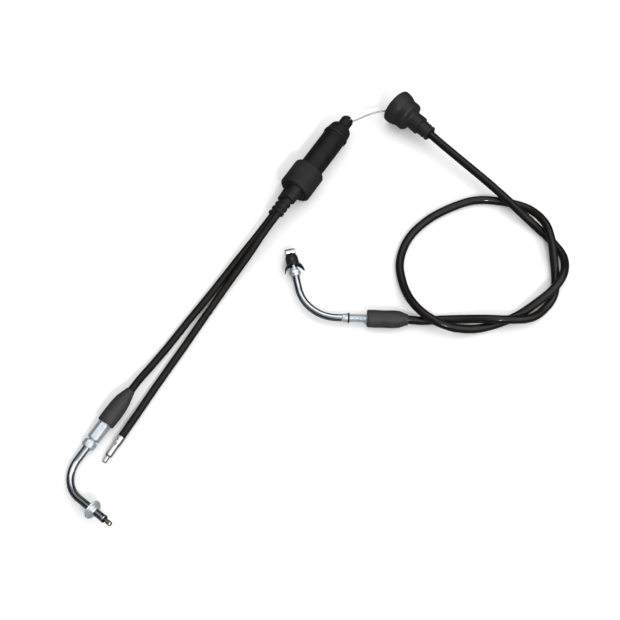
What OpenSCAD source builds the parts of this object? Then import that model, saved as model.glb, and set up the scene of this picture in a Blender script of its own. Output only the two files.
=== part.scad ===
// Throttle cable set for a small two-stroke: one cable into two through a splitter.
// Millimetres, +Z up. The splitter lies along +Y with the origin under its middle.
// Every piece stands where it lies on a flat surface.

/* [Splitter] */

// outer diameter of the splitter tube
housing_d = 17.8; // [17.4:0.1:18.2]
// bore of the splitter tube, in which the slider runs
housing_bore = 13; // [13:0.1:13.4]
// largest diameter of the end cap
cap_lip_d = 19; // [18.6:0.1:19.4]
// diameter of the wire tip on the end cap
tip_d = 9.6; // [9:0.1:10]
// width of the slot across the wire tip
tip_slot = 1.2; // [1:0.1:1.6]
// outer diameter of the rubber collar
collar_d = 24; // [23:0.1:24]
// radius of each lobe of the outlet neck
lobe_r = 5.5; // [5:0.1:5.8]
// core diameter of the ribbed outlet boots
boot_d = 6.6; // [6:0.1:7]
// diameter of the boot ribs
boot_rib_d = 8; // [7.4:0.1:8]
// length of the slider
slider_len = 14; // [13:0.5:15]
// clearance between the slider and the bore, on the radius
slider_gap = 0.08; // [0.04:0.01:0.1]

/* [Upper cable] */

// outer diameter of the upper sheath
upper_d = 6; // [5.5:0.1:6]
// diameter of the bare wire
wire_d = 1.2; // [1:0.1:1.4]
// rim diameter of the dust cup
cup_rim_d = 26.4; // [25.6:0.1:26.4]
// length of the dust cup with its ribbed neck
cup_len = 35.5; // [35.5:0.5:38]
// outer diameter of the rubber sleeve
throttle_sleeve_d = 12.5; // [12:0.1:12.5]
// outer diameter of the threads
thread_d = 5.6; // [5.2:0.1:5.6]
// outer diameter of both bent tubes
tube_d = 5; // [4.8:0.1:5]
// bend radius of the throttle tube on its centreline
throttle_bend_r = 28; // [25:0.5:31]
// bend angle of the throttle tube
throttle_bend = 76; // [66:1:80]
// body diameter of the snap-in bush
bush_d = 9; // [8.2:0.1:9.2]
// distance across the tips of the bush wings
wing_span = 14.3; // [13.8:0.1:15.4]
// height of the bush wings
wing_h = 5; // [4:0.2:6]
// diameter of the twist grip nipple, a small barrel across the wire
throttle_nipple_d = 4.8; // [4.4:0.1:4.9]
// length of the twist grip nipple, across the wire
throttle_nipple_len = 7.2; // [6:0.1:8]

/* [Carburettor cable] */

// outer diameter of both lower sheaths
lower_d = 5.2; // [4.8:0.1:5.2]
// mouth diameter of the rubber sleeve
carb_sleeve_d = 12.4; // [12:0.1:12.4]
// width across the flats of the adjuster and its lock nut
hex_af = 8; // [7.6:0.1:8]
// bend radius of the carburettor tube on its centreline
carb_bend_r = 20; // [17:0.5:22]
// bend angle of the carburettor tube
carb_bend = 87; // [80:1:92]
// diameter of the tube flange
flange_d = 13; // [11:0.2:15]
// diameter of the carburettor nipple
carb_nipple_d = 3.2; // [2.8:0.1:3.4]

/* [Oil pump cable] */

// diameter of the crimped end of the ferrule
pump_crimp_d = 5.8; // [5.6:0.1:5.8]
// diameter of the plain end of the ferrule
pump_ferrule_d = 4.7; // [4.4:0.1:5]
// length of the ferrule
pump_ferrule_len = 15.3; // [15:0.1:17]
// diameter of the oil pump nipple
pump_nipple_d = 3; // [2.6:0.1:3.2]

/* [Hidden] */
$fn = 48;

// colours of the materials
black = [0.05, 0.05, 0.055];
rubber = [0.09, 0.09, 0.1];
zinc = [0.72, 0.75, 0.79];
steel = [0.6, 0.62, 0.64];
brass = [0.74, 0.6, 0.42];
white = [0.85, 0.85, 0.82];

// stations along the splitter axis
boot_end = -49.5;
neck_end = -36;
plug_face = -25.5;
housing_start = -22;
plug_top = -12;
slider_start = -8;
collar_top = -5;
cap_start = 28.6;
tip_end = 49.5;
axis_z = collar_d / 2;
slider_end = slider_start + slider_len;

// centres of the two outlets, sideways and upwards from the splitter axis
carb_lobe = [2.8, -3.3];
pump_lobe = [-1.8, 3.3];

// rim centre of the dust cup and the direction of its axis
cup_at = [23.7, 77.4, 13.2];
cup_turn = -13;
// mouth of the throttle sleeve and its direction
throttle_at = [96.7, -81.2, 6.25];
throttle_turn = 211.2;
throttle_straight = 20.7;
throttle_tube_end = 24;
throttle_nipple_at = 29.8;
// mouth of the carburettor sleeve, its direction, its fall and its roll
carb_at = [-8.7, -241.3, 6.2];
carb_turn = 268.2;
carb_fall = 5;
carb_roll = 15;
carb_straight = 29.4;
carb_stub_end = 25.4;
// start of the oil pump ferrule and its direction
pump_at = [4.8, -242.3, 2.9];
pump_turn = -87.5;

// inner diameter of the threaded seats
thread_seat = thread_d + 0.12;
// gap between the straight stretches of a bent tube and its elbow
hairline = 0.01;

// centreline of the upper sheath: dust cup, one and a half turns, rubber sleeve
upper_route = [
  [43.2, 72.9, 13.2], [57.5, 69.6, 13.2], [73, 66, 12.9], [92, 62.5, 11.4],
  [112, 58.8, 9.9], [130, 54.1, 9.9], [146, 50.5, 7.6], [162, 48, 3.7],
  [177, 43.7, 3.3], [189.2, 35.4, 6.1], [195.2, 22.2, 9.5], [194.8, 7.8, 9.6],
  [189.8, -7.2, 7.3], [183.1, -20.8, 3.4], [173.5, -35, 3.1], [162.8, -46.8, 4.5],
  [149.3, -56.1, 8.8], [134.4, -58.9, 11], [118.8, -54.8, 8.6], [104.8, -44.7, 4.6],
  [92.5, -29.3, 3.1], [88, -9.5, 3], [91.7, 10.8, 3], [101, 29.5, 3],
  [113.3, 44.7, 3], [131, 54.3, 3.1], [148.8, 57.8, 5], [164, 52.2, 9],
  [174.5, 42.4, 9.9], [182.8, 31.7, 7.1], [190.9, 20.6, 3.7], [196.7, 8, 3.1],
  [196.7, -4.9, 3.4], [192.3, -18.4, 6.2], [180.3, -29.9, 9.9], [166.7, -37.8, 9.3],
  [152.5, -45, 5.4], [139.5, -53, 3.4], [129.8, -60.8, 4.4], [121.3, -66.3, 6.25],
  [110.5, -72.8, 6.25]];

// centreline of the bare wire: wire tip, open loop, dust cup
wire_route = [
  [0, 36, 12], [0, 41, 12], [0.4, 45.6, 12.1], [3.4, 48, 12.1], [7, 53.4, 12.4],
  [11.2, 60.1, 12.8], [15, 64.7, 13], [20.4, 69.6, 13.2], [28, 74.5, 13.2],
  [36, 74.9, 13.2], [43, 72.95, 13.2]];

// centreline of the carburettor sheath
carb_route = [
  [-2.8, -31.6, 8.7], [-2.8, -49.5, 8.7], [-3.4, -68.5, 7.3], [-4.6, -90, 5.4],
  [-5.5, -110, 3.8], [-6.3, -128.5, 2.7], [-7.1, -150, 2.6], [-7.6, -171, 2.6],
  [-8.3, -189, 3.3], [-8.1, -203, 6.7], [-7.6, -213.7, 8.6], [-8.35, -230.1, 7.2]];

// centreline of the oil pump sheath
pump_route = [
  [1.8, -31.6, 15.3], [1.8, -49.5, 15.3], [1, -68.2, 12], [0.8, -88, 8],
  [0.2, -106, 5], [0.2, -124, 3.1], [0.8, -144.5, 2.6], [1.7, -164.5, 2.6],
  [2.3, -184, 2.6], [3, -203.5, 2.6], [4, -223, 2.7], [4.8, -242.3, 2.9],
  [5.02, -247.3, 2.9]];

// a frame whose +X runs along a piece: place, direction, fall, roll
module lie(at, turn, fall = 0, roll = 0) {
  translate(at) rotate([0, 0, turn]) rotate([0, fall, 0]) rotate([roll, 0, 0]) children();
}

// the splitter's own frame, +X along its axis
module on_splitter() {
  lie([0, 0, axis_z], 90) children();
}

// the dust cup's own frame, +X from the rim to the ribbed neck
module on_cup() {
  lie(cup_at, cup_turn) children();
}

// the throttle fitting before its bend
module on_throttle() {
  lie(throttle_at, throttle_turn) children();
}

// the throttle fitting after its bend
module on_throttle_leg() {
  on_throttle()
    translate([throttle_straight, -throttle_bend_r, 0])
      rotate([0, 0, -throttle_bend]) translate([0, throttle_bend_r, 0]) children();
}

// the carburettor fitting before its bend
module on_carb() {
  lie(carb_at, carb_turn, carb_fall, carb_roll) children();
}

// the carburettor fitting after its bend
module on_carb_leg() {
  on_carb()
    translate([carb_straight, carb_bend_r, 0])
      rotate([0, 0, carb_bend]) translate([0, -carb_bend_r, 0]) children();
}

// the oil pump fitting
module on_pump() {
  lie(pump_at, pump_turn) children();
}

// a round bar along +X between two stations
module bar(d, from, to) {
  translate([from, 0, 0]) rotate([0, 90, 0]) cylinder(h = to - from, d = d);
}

// a cone along +X between two stations
module taper(d1, d2, from, to) {
  translate([from, 0, 0]) rotate([0, 90, 0]) cylinder(h = to - from, d1 = d1, d2 = d2);
}

// a round pipe along +X between two stations
module pipe(od, id, from, to) {
  difference() {
    bar(od, from, to);
    bar(id, from - 1, to + 1);
  }
}

// a hexagon bar along +X: an edge is underneath at spin 0 and a flat at spin 30
module hexbar(af, from, to, spin = 0) {
  translate([from, 0, 0]) rotate([0, 90, 0]) rotate([0, 0, spin])
    cylinder(h = to - from, r = af / sqrt(3), $fn = 6);
}

// a turned piece along +X from a list of [radius, station]
module turned(profile) {
  rotate([0, 90, 0]) rotate_extrude() polygon(profile);
}

// a bent pipe that starts at the origin along +X; side is 1 to the left and -1 to the right
module elbow(od, id, bend_r, angle, side) {
  mirror([0, side > 0 ? 0 : 1, 0]) translate([0, bend_r, 0])
    rotate([0, 0, -90])
      rotate_extrude(angle = angle)
        translate([bend_r, 0])
          difference() {
            circle(d = od);
            circle(d = id);
          }
}

// direction of a route at one of its points
function heading(route, i) =
  let (last = len(route) - 1, d = route[min(i + 1, last)] - route[max(i - 1, 0)])
  d / norm(d);

// the corners of the ring round one route point
function ring(route, i, r, sides) =
  let (t = heading(route, i),
       across = cross(t, [0, 0, 1]) / norm(cross(t, [0, 0, 1])),
       up = cross(across, t))
  [for (k = [0 : sides - 1])
    route[i] + r * (cos(360 * k / sides) * across + sin(360 * k / sides) * up)];

// a plain cord along a route
module cord(route, d, sides) {
  rings = len(route);
  points = [for (i = [0 : rings - 1]) each ring(route, i, d / 2, sides)];
  walls = [for (i = [0 : rings - 2], k = [0 : sides - 1])
    let (a = i * sides + k, b = i * sides + (k + 1) % sides)
    each [[a, b, b + sides], [a, b + sides, a + sides]]];
  first = [for (k = [0 : sides - 1]) sides - 1 - k];
  end = [for (k = [0 : sides - 1]) (rings - 1) * sides + k];
  polyhedron(points = points, faces = concat(walls, [first, end]));
}

// places the children at one of the two outlets
module at_outlet(lobe) {
  translate([0, lobe[0], lobe[1]]) children();
}

// tube of the splitter with small lead-in chamfers
module splitter_housing() {
  r = housing_d / 2;
  b = housing_bore / 2;
  color(black) on_splitter()
    turned([[b, housing_start], [r, housing_start], [r, cap_start],
            [b + 0.5, cap_start], [b, cap_start - 0.5]]);
}

// end cap: spigot in the tube, lip, taper, and the tip the wire leaves through
module splitter_cap() {
  lip = cap_lip_d / 2;
  tip = tip_d / 2;
  spigot = housing_bore / 2;
  color(black) on_splitter() difference() {
    turned([[3, 25], [spigot - 0.4, 25], [spigot, 25.5], [spigot, cap_start - 0.5],
            [spigot + 0.5, cap_start], [lip - 0.2, cap_start], [lip, cap_start + 0.2],
            [lip, 30.8], [lip - 0.5, 31.6], [lip - 0.9, 34.5], [lip - 1.2, 36.5],
            [lip - 1.7, 38], [lip - 2.7, 39], [tip + 0.3, 39.5], [tip, 39.9], [tip, 46.5],
            [tip - 0.6, 47.8], [tip - 1.9, 49], [tip - 2.6, tip_end], [1.5, tip_end],
            [1.5, 33], [3, 33]]);
    translate([46, -1.6 - tip_slot, -6]) cube([6, tip_slot, 12]);
    translate([45.4, -7, -0.9]) cube([5.4, 7, 1.8]);
  }
}

// soft collar round the lower end of the splitter
module splitter_collar() {
  r = collar_d / 2;
  b = housing_d / 2;
  color(rubber) on_splitter()
    turned([[b, plug_face], [r - 1.2, plug_face], [r - 0.4, plug_face + 0.4],
            [r, plug_face + 1.2], [r, collar_top - 0.7], [r - 0.2, collar_top - 0.2],
            [r - 0.7, collar_top], [b, collar_top]]);
}

// plug that closes the splitter, with a neck of two lobes
module outlet_plug() {
  color(black) on_splitter() difference() {
    union() {
      bar(housing_d, plug_face, housing_start);
      bar(housing_bore, housing_start, plug_top);
      for (lobe = [carb_lobe, pump_lobe]) {
        at_outlet(lobe) bar(lobe_r * 2, neck_end + 2, plug_face);
        at_outlet(lobe) bar(lobe_r * 2 - 0.9, neck_end, neck_end + 2);
      }
    }
    for (lobe = [carb_lobe, pump_lobe]) {
      at_outlet(lobe) bar(6, neck_end - 1, -30.6);
      at_outlet(lobe) bar(3, neck_end - 1, plug_top + 1);
    }
  }
}

// ribbed rubber boot under one outlet
module outlet_boot(lobe) {
  core = boot_d / 2;
  rib = boot_rib_d / 2;
  color(rubber) on_splitter() at_outlet(lobe) difference() {
    union() {
      bar(boot_d, boot_end, neck_end);
      for (s = [-48.3, -44.1, -39.9])
        turned([[2, s - 1.2], [core, s - 1.2], [rib - 0.2, s - 1], [rib, s - 0.7],
                [rib, s + 0.7], [rib - 0.2, s + 1], [core, s + 1.2], [2, s + 1.2]]);
    }
    bar(lower_d, boot_end - 1, neck_end + 1);
  }
}

module carb_outlet_boot() {
  outlet_boot(carb_lobe);
}

module pump_outlet_boot() {
  outlet_boot(pump_lobe);
}

// stepped ferrule on the upper end of a lower sheath
module upper_ferrule(lobe) {
  color(zinc) on_splitter() at_outlet(lobe) difference() {
    union() {
      bar(6, neck_end, -30.6);
      bar(3, -30.6, plug_top);
    }
    bar(lower_d, neck_end - 1, -31.6);
    bar(1.6, -32, plug_top + 1);
  }
}

module carb_upper_ferrule() {
  upper_ferrule(carb_lobe);
}

module pump_upper_ferrule() {
  upper_ferrule(pump_lobe);
}

// slider that carries the three nipples
module slider_block() {
  color(white) on_splitter() difference() {
    bar(housing_bore - 2 * slider_gap, slider_start, slider_end);
    bar(3.1, slider_start - 1, 1);
    bar(1.8, 0, slider_end + 1);
    for (lobe = [carb_lobe, pump_lobe]) {
      at_outlet(lobe) bar(3.4, -4, slider_end + 1);
      at_outlet(lobe) bar(1.6, slider_start - 1, 0);
    }
  }
}

module throttle_slider_nipple() {
  color(brass) on_splitter() bar(3, -3, 1);
}

module throttle_slider_wire() {
  color(steel) on_splitter() bar(wire_d, 1, 25.8);
}

module carb_slider_nipple() {
  color(brass) on_splitter() at_outlet(carb_lobe) bar(3.24, -4, 0);
}

module carb_slider_wire() {
  color(steel) on_splitter() at_outlet(carb_lobe) bar(1.2, -31, -4);
}

module pump_slider_nipple() {
  color(brass) on_splitter() at_outlet(pump_lobe) bar(3.24, -4, 0);
}

module pump_slider_wire() {
  color(steel) on_splitter() at_outlet(pump_lobe) bar(1.2, -31, -4);
}

// bare wire between the splitter and the dust cup
module throttle_wire_run() {
  color(steel) cord(wire_route, wire_d, 8);
}

// rubber cup that closes over the splitter cap, with a ribbed neck
module dust_cup() {
  rim = cup_rim_d / 2;
  neck_bore = upper_d / 2 + 0.3;
  color(rubber) on_cup()
    turned([[10.8, 0], [rim - 0.4, 0], [rim, 0.6], [rim, 3], [rim - 0.3, 5], [rim - 0.9, 7],
            [rim - 1.8, 8.8], [rim - 1.9, 9.4], [rim - 1.9, 14], [rim - 2.4, 15.2],
            [rim - 4.3, 16], [7, 17.1], [6.7, 18.5], [6.9, 21], [7.05, 24], [7.05, 25.6],
            [5.2, 26.2], [5.1, 27], [5.7, 27.3], [5.7, 29], [5.1, 29.3], [5.1, 30.2],
            [5.7, 30.5], [5.7, 32], [5, 32.3], [5, 33.4], [5.6, 33.7], [5.6, cup_len - 0.3],
            [5.3, cup_len], [neck_bore, cup_len], [neck_bore, 29.8], [4.05, 29.8], [4.05, 15],
            [9.2, 14], [9.2, 4], [10, 1.6]]);
}

// metal ferrule on the sheath, inside the neck of the dust cup
module cup_ferrule() {
  color(zinc) on_cup()
    turned([[0.9, 17.5], [3.5, 17.5], [3.75, 17.8], [3.75, 29.5], [upper_d / 2, 29.5],
            [upper_d / 2, 20], [0.9, 20]]);
}

// upper sheath
module throttle_sheath() {
  color(black) cord(upper_route, upper_d, 10);
}

// rubber sleeve over the throttle adjuster
module throttle_sleeve() {
  r = throttle_sleeve_d / 2;
  tail_bore = upper_d / 2 + 0.3;
  color(rubber) on_throttle()
    turned([[tail_bore, -28.6], [3.8, -28.6], [4.3, -27.4], [r - 0.3, -22.8], [r, -21.6],
            [r, -0.6], [r - 0.3, -0.1], [r - 0.6, 0], [5.25, 0], [5.25, -21.4],
            [tail_bore, -23]]);
}

// barrel adjuster under the sleeve, with the seat for the sheath
module throttle_adjuster() {
  color(zinc) on_throttle() difference() {
    bar(9.8, -21, -1);
    bar(upper_d + 0.2, -22, -16);
    bar(2, -17, -14);
    bar(thread_seat, -14.5, 0);
  }
}

// dark retaining clip on the thread
module throttle_clip() {
  color(rubber) on_throttle() pipe(7.5, thread_d, 12.1, 13);
}

// bent tube with its threaded end
module throttle_tube() {
  color(zinc) {
    on_throttle() pipe(thread_d, 3, -6, 13);
    on_throttle() pipe(tube_d, 3, 13, throttle_straight - hairline);
    on_throttle() translate([throttle_straight, 0, 0])
      elbow(tube_d, 3, throttle_bend_r, throttle_bend, -1);
    on_throttle_leg() pipe(tube_d, 3, hairline, throttle_tube_end);
  }
}

// conical collar pressed on the tube behind the thread
module throttle_tube_collar() {
  color(zinc) on_throttle() difference() {
    union() {
      bar(6.2, 13, 14.6);
      taper(6.2, 5.5, 14.6, 17.2);
    }
    bar(tube_d, 12, 18);
  }
}

// hexagon nut on the tube behind the bush
module throttle_tube_nut() {
  color(zinc) on_throttle_leg() difference() {
    union() {
      taper(6, 7.2, 10, 11.2);
      hexbar(7.3, 11.2, 13.8, 30);
    }
    bar(tube_d, 9, 15);
  }
}

// plastic bush with two wings swept back
module snap_bush() {
  r = bush_d / 2;
  wing_r = wing_span / 2;
  color(black) on_throttle_leg() difference() {
    union() {
      turned([[1.2, 18.5], [3.5, 18.5], [3.5, 20.4], [r, 20.4], [r, 21.2], [r - 0.3, 21.4],
              [r - 0.3, 22], [r, 22.2], [r, 25.5], [r - 0.3, 26.3], [r - 0.8, 26.8],
              [r - 1.5, 27], [1.2, 27]]);
      for (side = [25, -90])
        translate([13.8, 0, 0]) rotate([0, 0, side])
          rotate_extrude(angle = 65)
            translate([wing_r - 1.7, -wing_h / 2]) square([1.7, wing_h]);
      for (side = [-1, 1])
        translate([17.4, side * 4.2 - 0.5, -wing_h / 2 + 0.6])
          cube([3.6, 1, wing_h - 1.2]);
    }
    bar(tube_d + 0.12, 12, throttle_tube_end + 0.3);
  }
}

// end of the throttle wire inside the tube
module throttle_wire_end() {
  color(steel) on_throttle_leg() bar(wire_d, 1, throttle_nipple_at);
}

// nipple across the wire, which hooks into the twist grip
module throttle_nipple() {
  color(steel) on_throttle_leg() difference() {
    translate([throttle_nipple_at, 0, 0]) rotate([90, 0, 0])
      cylinder(h = throttle_nipple_len, d = throttle_nipple_d, center = true);
    bar(wire_d, throttle_nipple_at - throttle_nipple_d, throttle_nipple_at);
  }
}

// carburettor sheath
module carb_sheath() {
  color(black) cord(carb_route, lower_d, 10);
}

// rubber sleeve over the carburettor adjuster
module carb_sleeve() {
  r = carb_sleeve_d / 2;
  tail_bore = lower_d / 2 + 0.3;
  color(rubber) on_carb()
    turned([[tail_bore, -27.7], [3.3, -27.7], [3.5, -26], [4.2, -24], [4.6, -22],
            [5.2, -20], [5.65, -17], [r - 0.2, -14], [r, -10], [r - 0.1, -5],
            [r - 0.15, -0.6], [r - 0.45, -0.1], [r - 0.8, 0], [4.4, 0], [4.4, -17.3],
            [tail_bore, -19]]);
}

// long hexagon adjuster with the seat for the sheath
module carb_adjuster() {
  color(zinc) on_carb() difference() {
    union() {
      bar(hex_af, -17, 0.2);
      hexbar(hex_af, 0.2, 13);
    }
    bar(lower_d + 0.2, -18, -11);
    bar(2, -12, -9);
    bar(thread_seat, -9.5, 14);
  }
}

// lock nut behind the adjuster
module carb_lock_nut() {
  color(zinc) on_carb() difference() {
    hexbar(hex_af, 14.5, 19.5);
    bar(thread_seat, 14, 20);
  }
}

// bent tube with its threaded end and its wider mouth
module carb_tube() {
  color(zinc) {
    on_carb() pipe(thread_d, 3, -3, 19.5);
    on_carb() pipe(tube_d, 3, 19.5, carb_straight - hairline);
    on_carb() translate([carb_straight, 0, 0]) elbow(tube_d, 3, carb_bend_r, carb_bend, 1);
    on_carb_leg() pipe(tube_d, 3, hairline, 13.4);
    on_carb_leg() pipe(tube_d, 3.8, 13.4, 24.4);
    on_carb_leg() pipe(tube_d + 0.4, 3.8, 24.4, carb_stub_end);
  }
}

// flange and hub on the tube
module carb_flange() {
  color(zinc) on_carb_leg() difference() {
    union() {
      bar(flange_d, 13.2, 14.5);
      bar(6.5, 14.5, 17);
    }
    bar(tube_d, 12, 18);
  }
}

// end of the carburettor wire inside the tube
module carb_wire_end() {
  color(steel) on_carb_leg() bar(1.2, 11, 27.4);
}

// nipple that hooks into the carburettor slide
module carb_nipple() {
  color(brass) on_carb_leg() bar(carb_nipple_d, 27.4, 31.4);
}

// oil pump sheath
module pump_sheath() {
  color(black) cord(pump_route, lower_d, 10);
}

// crimped ferrule on the oil pump sheath
module pump_ferrule() {
  color(zinc) on_pump()
    turned([[lower_d / 2, 0], [pump_crimp_d / 2 - 0.1, 0], [pump_crimp_d / 2, 0.3],
            [pump_crimp_d / 2, 5.6], [pump_ferrule_d / 2, 6.2],
            [pump_ferrule_d / 2, pump_ferrule_len - 0.2],
            [pump_ferrule_d / 2 - 0.2, pump_ferrule_len], [1.8, pump_ferrule_len],
            [1.8, 5], [lower_d / 2, 5]]);
}

// end of the oil pump wire inside the ferrule
module pump_wire_end() {
  color(steel) on_pump() bar(1, pump_ferrule_len - 0.1, pump_ferrule_len + 0.3);
}

// nipple that hooks into the oil pump lever
module pump_nipple() {
  color(steel) on_pump()
    bar(pump_nipple_d, pump_ferrule_len + 0.3, pump_ferrule_len + 4.9);
}

splitter_housing();
splitter_cap();
splitter_collar();
outlet_plug();
carb_outlet_boot();
pump_outlet_boot();
carb_upper_ferrule();
pump_upper_ferrule();
slider_block();
throttle_slider_nipple();
throttle_slider_wire();
carb_slider_nipple();
carb_slider_wire();
pump_slider_nipple();
pump_slider_wire();
throttle_wire_run();
dust_cup();
cup_ferrule();
throttle_sheath();
throttle_sleeve();
throttle_adjuster();
throttle_clip();
throttle_tube();
throttle_tube_collar();
throttle_tube_nut();
snap_bush();
throttle_wire_end();
throttle_nipple();
carb_sheath();
carb_sleeve();
carb_adjuster();
carb_lock_nut();
carb_tube();
carb_flange();
carb_wire_end();
carb_nipple();
pump_sheath();
pump_ferrule();
pump_wire_end();
pump_nipple();
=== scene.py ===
import math
import bpy
import bmesh
from mathutils import Matrix, Vector


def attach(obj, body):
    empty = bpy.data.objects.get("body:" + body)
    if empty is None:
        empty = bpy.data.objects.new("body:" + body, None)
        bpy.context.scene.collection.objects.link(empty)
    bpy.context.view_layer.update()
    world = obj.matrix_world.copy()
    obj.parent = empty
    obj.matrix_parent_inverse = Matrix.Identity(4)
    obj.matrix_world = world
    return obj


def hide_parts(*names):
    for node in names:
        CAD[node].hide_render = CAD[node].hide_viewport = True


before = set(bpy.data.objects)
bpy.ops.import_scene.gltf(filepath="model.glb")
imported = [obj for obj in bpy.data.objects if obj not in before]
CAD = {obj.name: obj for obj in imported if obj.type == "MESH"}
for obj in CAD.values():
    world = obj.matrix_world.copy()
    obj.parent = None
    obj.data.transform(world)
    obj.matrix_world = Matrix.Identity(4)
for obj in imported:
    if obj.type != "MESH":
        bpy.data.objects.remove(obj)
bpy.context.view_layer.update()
MM = 0.001  # shapes and routes are in millimetres, and everything else is in metres

# ---------------------------------------------------------------- places


def lie(at, turn, fall=0.0, roll=0.0):
    """a frame whose x axis runs along a fitting, turned in plan, tipped down and rolled"""
    return (Matrix.Translation(Vector(at))
            @ Matrix.Rotation(math.radians(turn), 4, "Z")
            @ Matrix.Rotation(math.radians(fall), 4, "Y")
            @ Matrix.Rotation(math.radians(roll), 4, "X"))


def after_bend(place, straight, radius, angle, side):
    """the frame at the end of a bend that begins a straight away from place"""
    a = math.radians(angle)
    off = Vector((straight + radius * math.sin(a), side * radius * (1 - math.cos(a)), 0))
    return place @ Matrix.Translation(off) @ Matrix.Rotation(side * a, 4, "Z")


LEFT = 1
RIGHT = -1
THROTTLE_STRAIGHT = 20.7
THROTTLE_BEND_R = 28
THROTTLE_BEND = 76
CARB_STRAIGHT = 29.4
CARB_BEND_R = 20
CARB_BEND = 87

SPLITTER = lie((0, 0, 12), 90)
CUP = lie((23.7, 77.4, 13.2), -13)
THROTTLE = lie((96.7, -81.2, 6.25), 211.2)
THROTTLE_LEG = after_bend(THROTTLE, THROTTLE_STRAIGHT, THROTTLE_BEND_R, THROTTLE_BEND, RIGHT)
CARB = lie((-8.7, -241.3, 6.2), 268.2, 5, 15)
CARB_LEG = after_bend(CARB, CARB_STRAIGHT, CARB_BEND_R, CARB_BEND, LEFT)
PUMP = lie((4.8, -242.3, 2.9), -87.5)
CARB_LOBE = (2.8, -3.3)
PUMP_LOBE = (-1.8, 3.3)


def at_outlet(lobe):
    """the splitter's frame moved onto one of its two outlets"""
    return SPLITTER @ Matrix.Translation(Vector((0, lobe[0], lobe[1])))


# ---------------------------------------------------------------- camera

AIM = (0.0586, -0.0947, 0.0)
VIEW_TURN = math.radians(33)

camera_data = bpy.data.cameras.new("camera")
camera = bpy.data.objects.new("camera", camera_data)
bpy.context.scene.collection.objects.link(camera)
camera_data.sensor_width = 36.0
camera_data.lens = 67.18
camera.location = (0.2455, -0.3825, 0.7359)
aim = Vector(AIM) - camera.location
camera.rotation_euler = aim.to_track_quat("-Z", "Y").to_euler()
camera_data.clip_start = 0.05
camera_data.clip_end = 20.0
bpy.context.scene.camera = camera
bpy.context.scene.view_settings.view_transform = "Standard"

# ---------------------------------------------------------------- materials

GRAIN_DEPTH = 0.00005
DARKEST_AT = 0.3
LIGHTEST_AT = 0.72


def material(name, colour, rough, metal=0.0, coat=0.0, coat_rough=0.1, tint=None,
             mottle=0.25, mottle_scale=120.0, rough_spread=0.1, grain=0.1,
             grain_scale=900.0, spec=0.2, painted_edge_shade=None):
    """a surface with soft patches of colour and gloss and a fine grain"""
    m = bpy.data.materials.new(name)
    m.use_nodes = True
    nodes, links = m.node_tree.nodes, m.node_tree.links
    nodes.clear()
    out = nodes.new("ShaderNodeOutputMaterial")
    bsdf = nodes.new("ShaderNodeBsdfPrincipled")
    links.new(bsdf.outputs["BSDF"], out.inputs["Surface"])
    bsdf.inputs["Metallic"].default_value = metal
    bsdf.inputs["Specular IOR Level"].default_value = spec
    bsdf.inputs["Coat Weight"].default_value = coat
    bsdf.inputs["Coat Roughness"].default_value = coat_rough
    where = nodes.new("ShaderNodeTexCoord").outputs["Object"]
    # painted shade: a metal's rims seen edge-on are tinted dark, standing in for a dark
    # reflection
    if painted_edge_shade:
        bsdf.inputs["Specular Tint"].default_value = (*painted_edge_shade, 1)
    patch = nodes.new("ShaderNodeTexNoise")
    patch.inputs["Scale"].default_value = mottle_scale
    patch.inputs["Detail"].default_value = 4.0
    links.new(where, patch.inputs["Vector"])
    ramp = nodes.new("ShaderNodeValToRGB")
    dark = tuple(c * (1 - mottle) for c in colour)
    light = tint or tuple(min(1.0, c * (1 + mottle)) for c in colour)
    ramp.color_ramp.elements[0].position = DARKEST_AT
    ramp.color_ramp.elements[0].color = (*dark, 1)
    ramp.color_ramp.elements[1].position = LIGHTEST_AT
    ramp.color_ramp.elements[1].color = (*light, 1)
    links.new(patch.outputs["Fac"], ramp.inputs["Fac"])
    links.new(ramp.outputs["Color"], bsdf.inputs["Base Color"])
    spread = nodes.new("ShaderNodeMapRange")
    spread.inputs["To Min"].default_value = max(0.02, rough - rough_spread)
    spread.inputs["To Max"].default_value = min(1.0, rough + rough_spread)
    links.new(patch.outputs["Fac"], spread.inputs["Value"])
    links.new(spread.outputs["Result"], bsdf.inputs["Roughness"])
    fine = nodes.new("ShaderNodeTexNoise")
    fine.inputs["Scale"].default_value = grain_scale
    fine.inputs["Detail"].default_value = 3.0
    links.new(where, fine.inputs["Vector"])
    bump = nodes.new("ShaderNodeBump")
    bump.inputs["Strength"].default_value = grain
    bump.inputs["Distance"].default_value = GRAIN_DEPTH
    links.new(fine.outputs["Fac"], bump.inputs["Height"])
    links.new(bump.outputs["Normal"], bsdf.inputs["Normal"])
    return m


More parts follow.
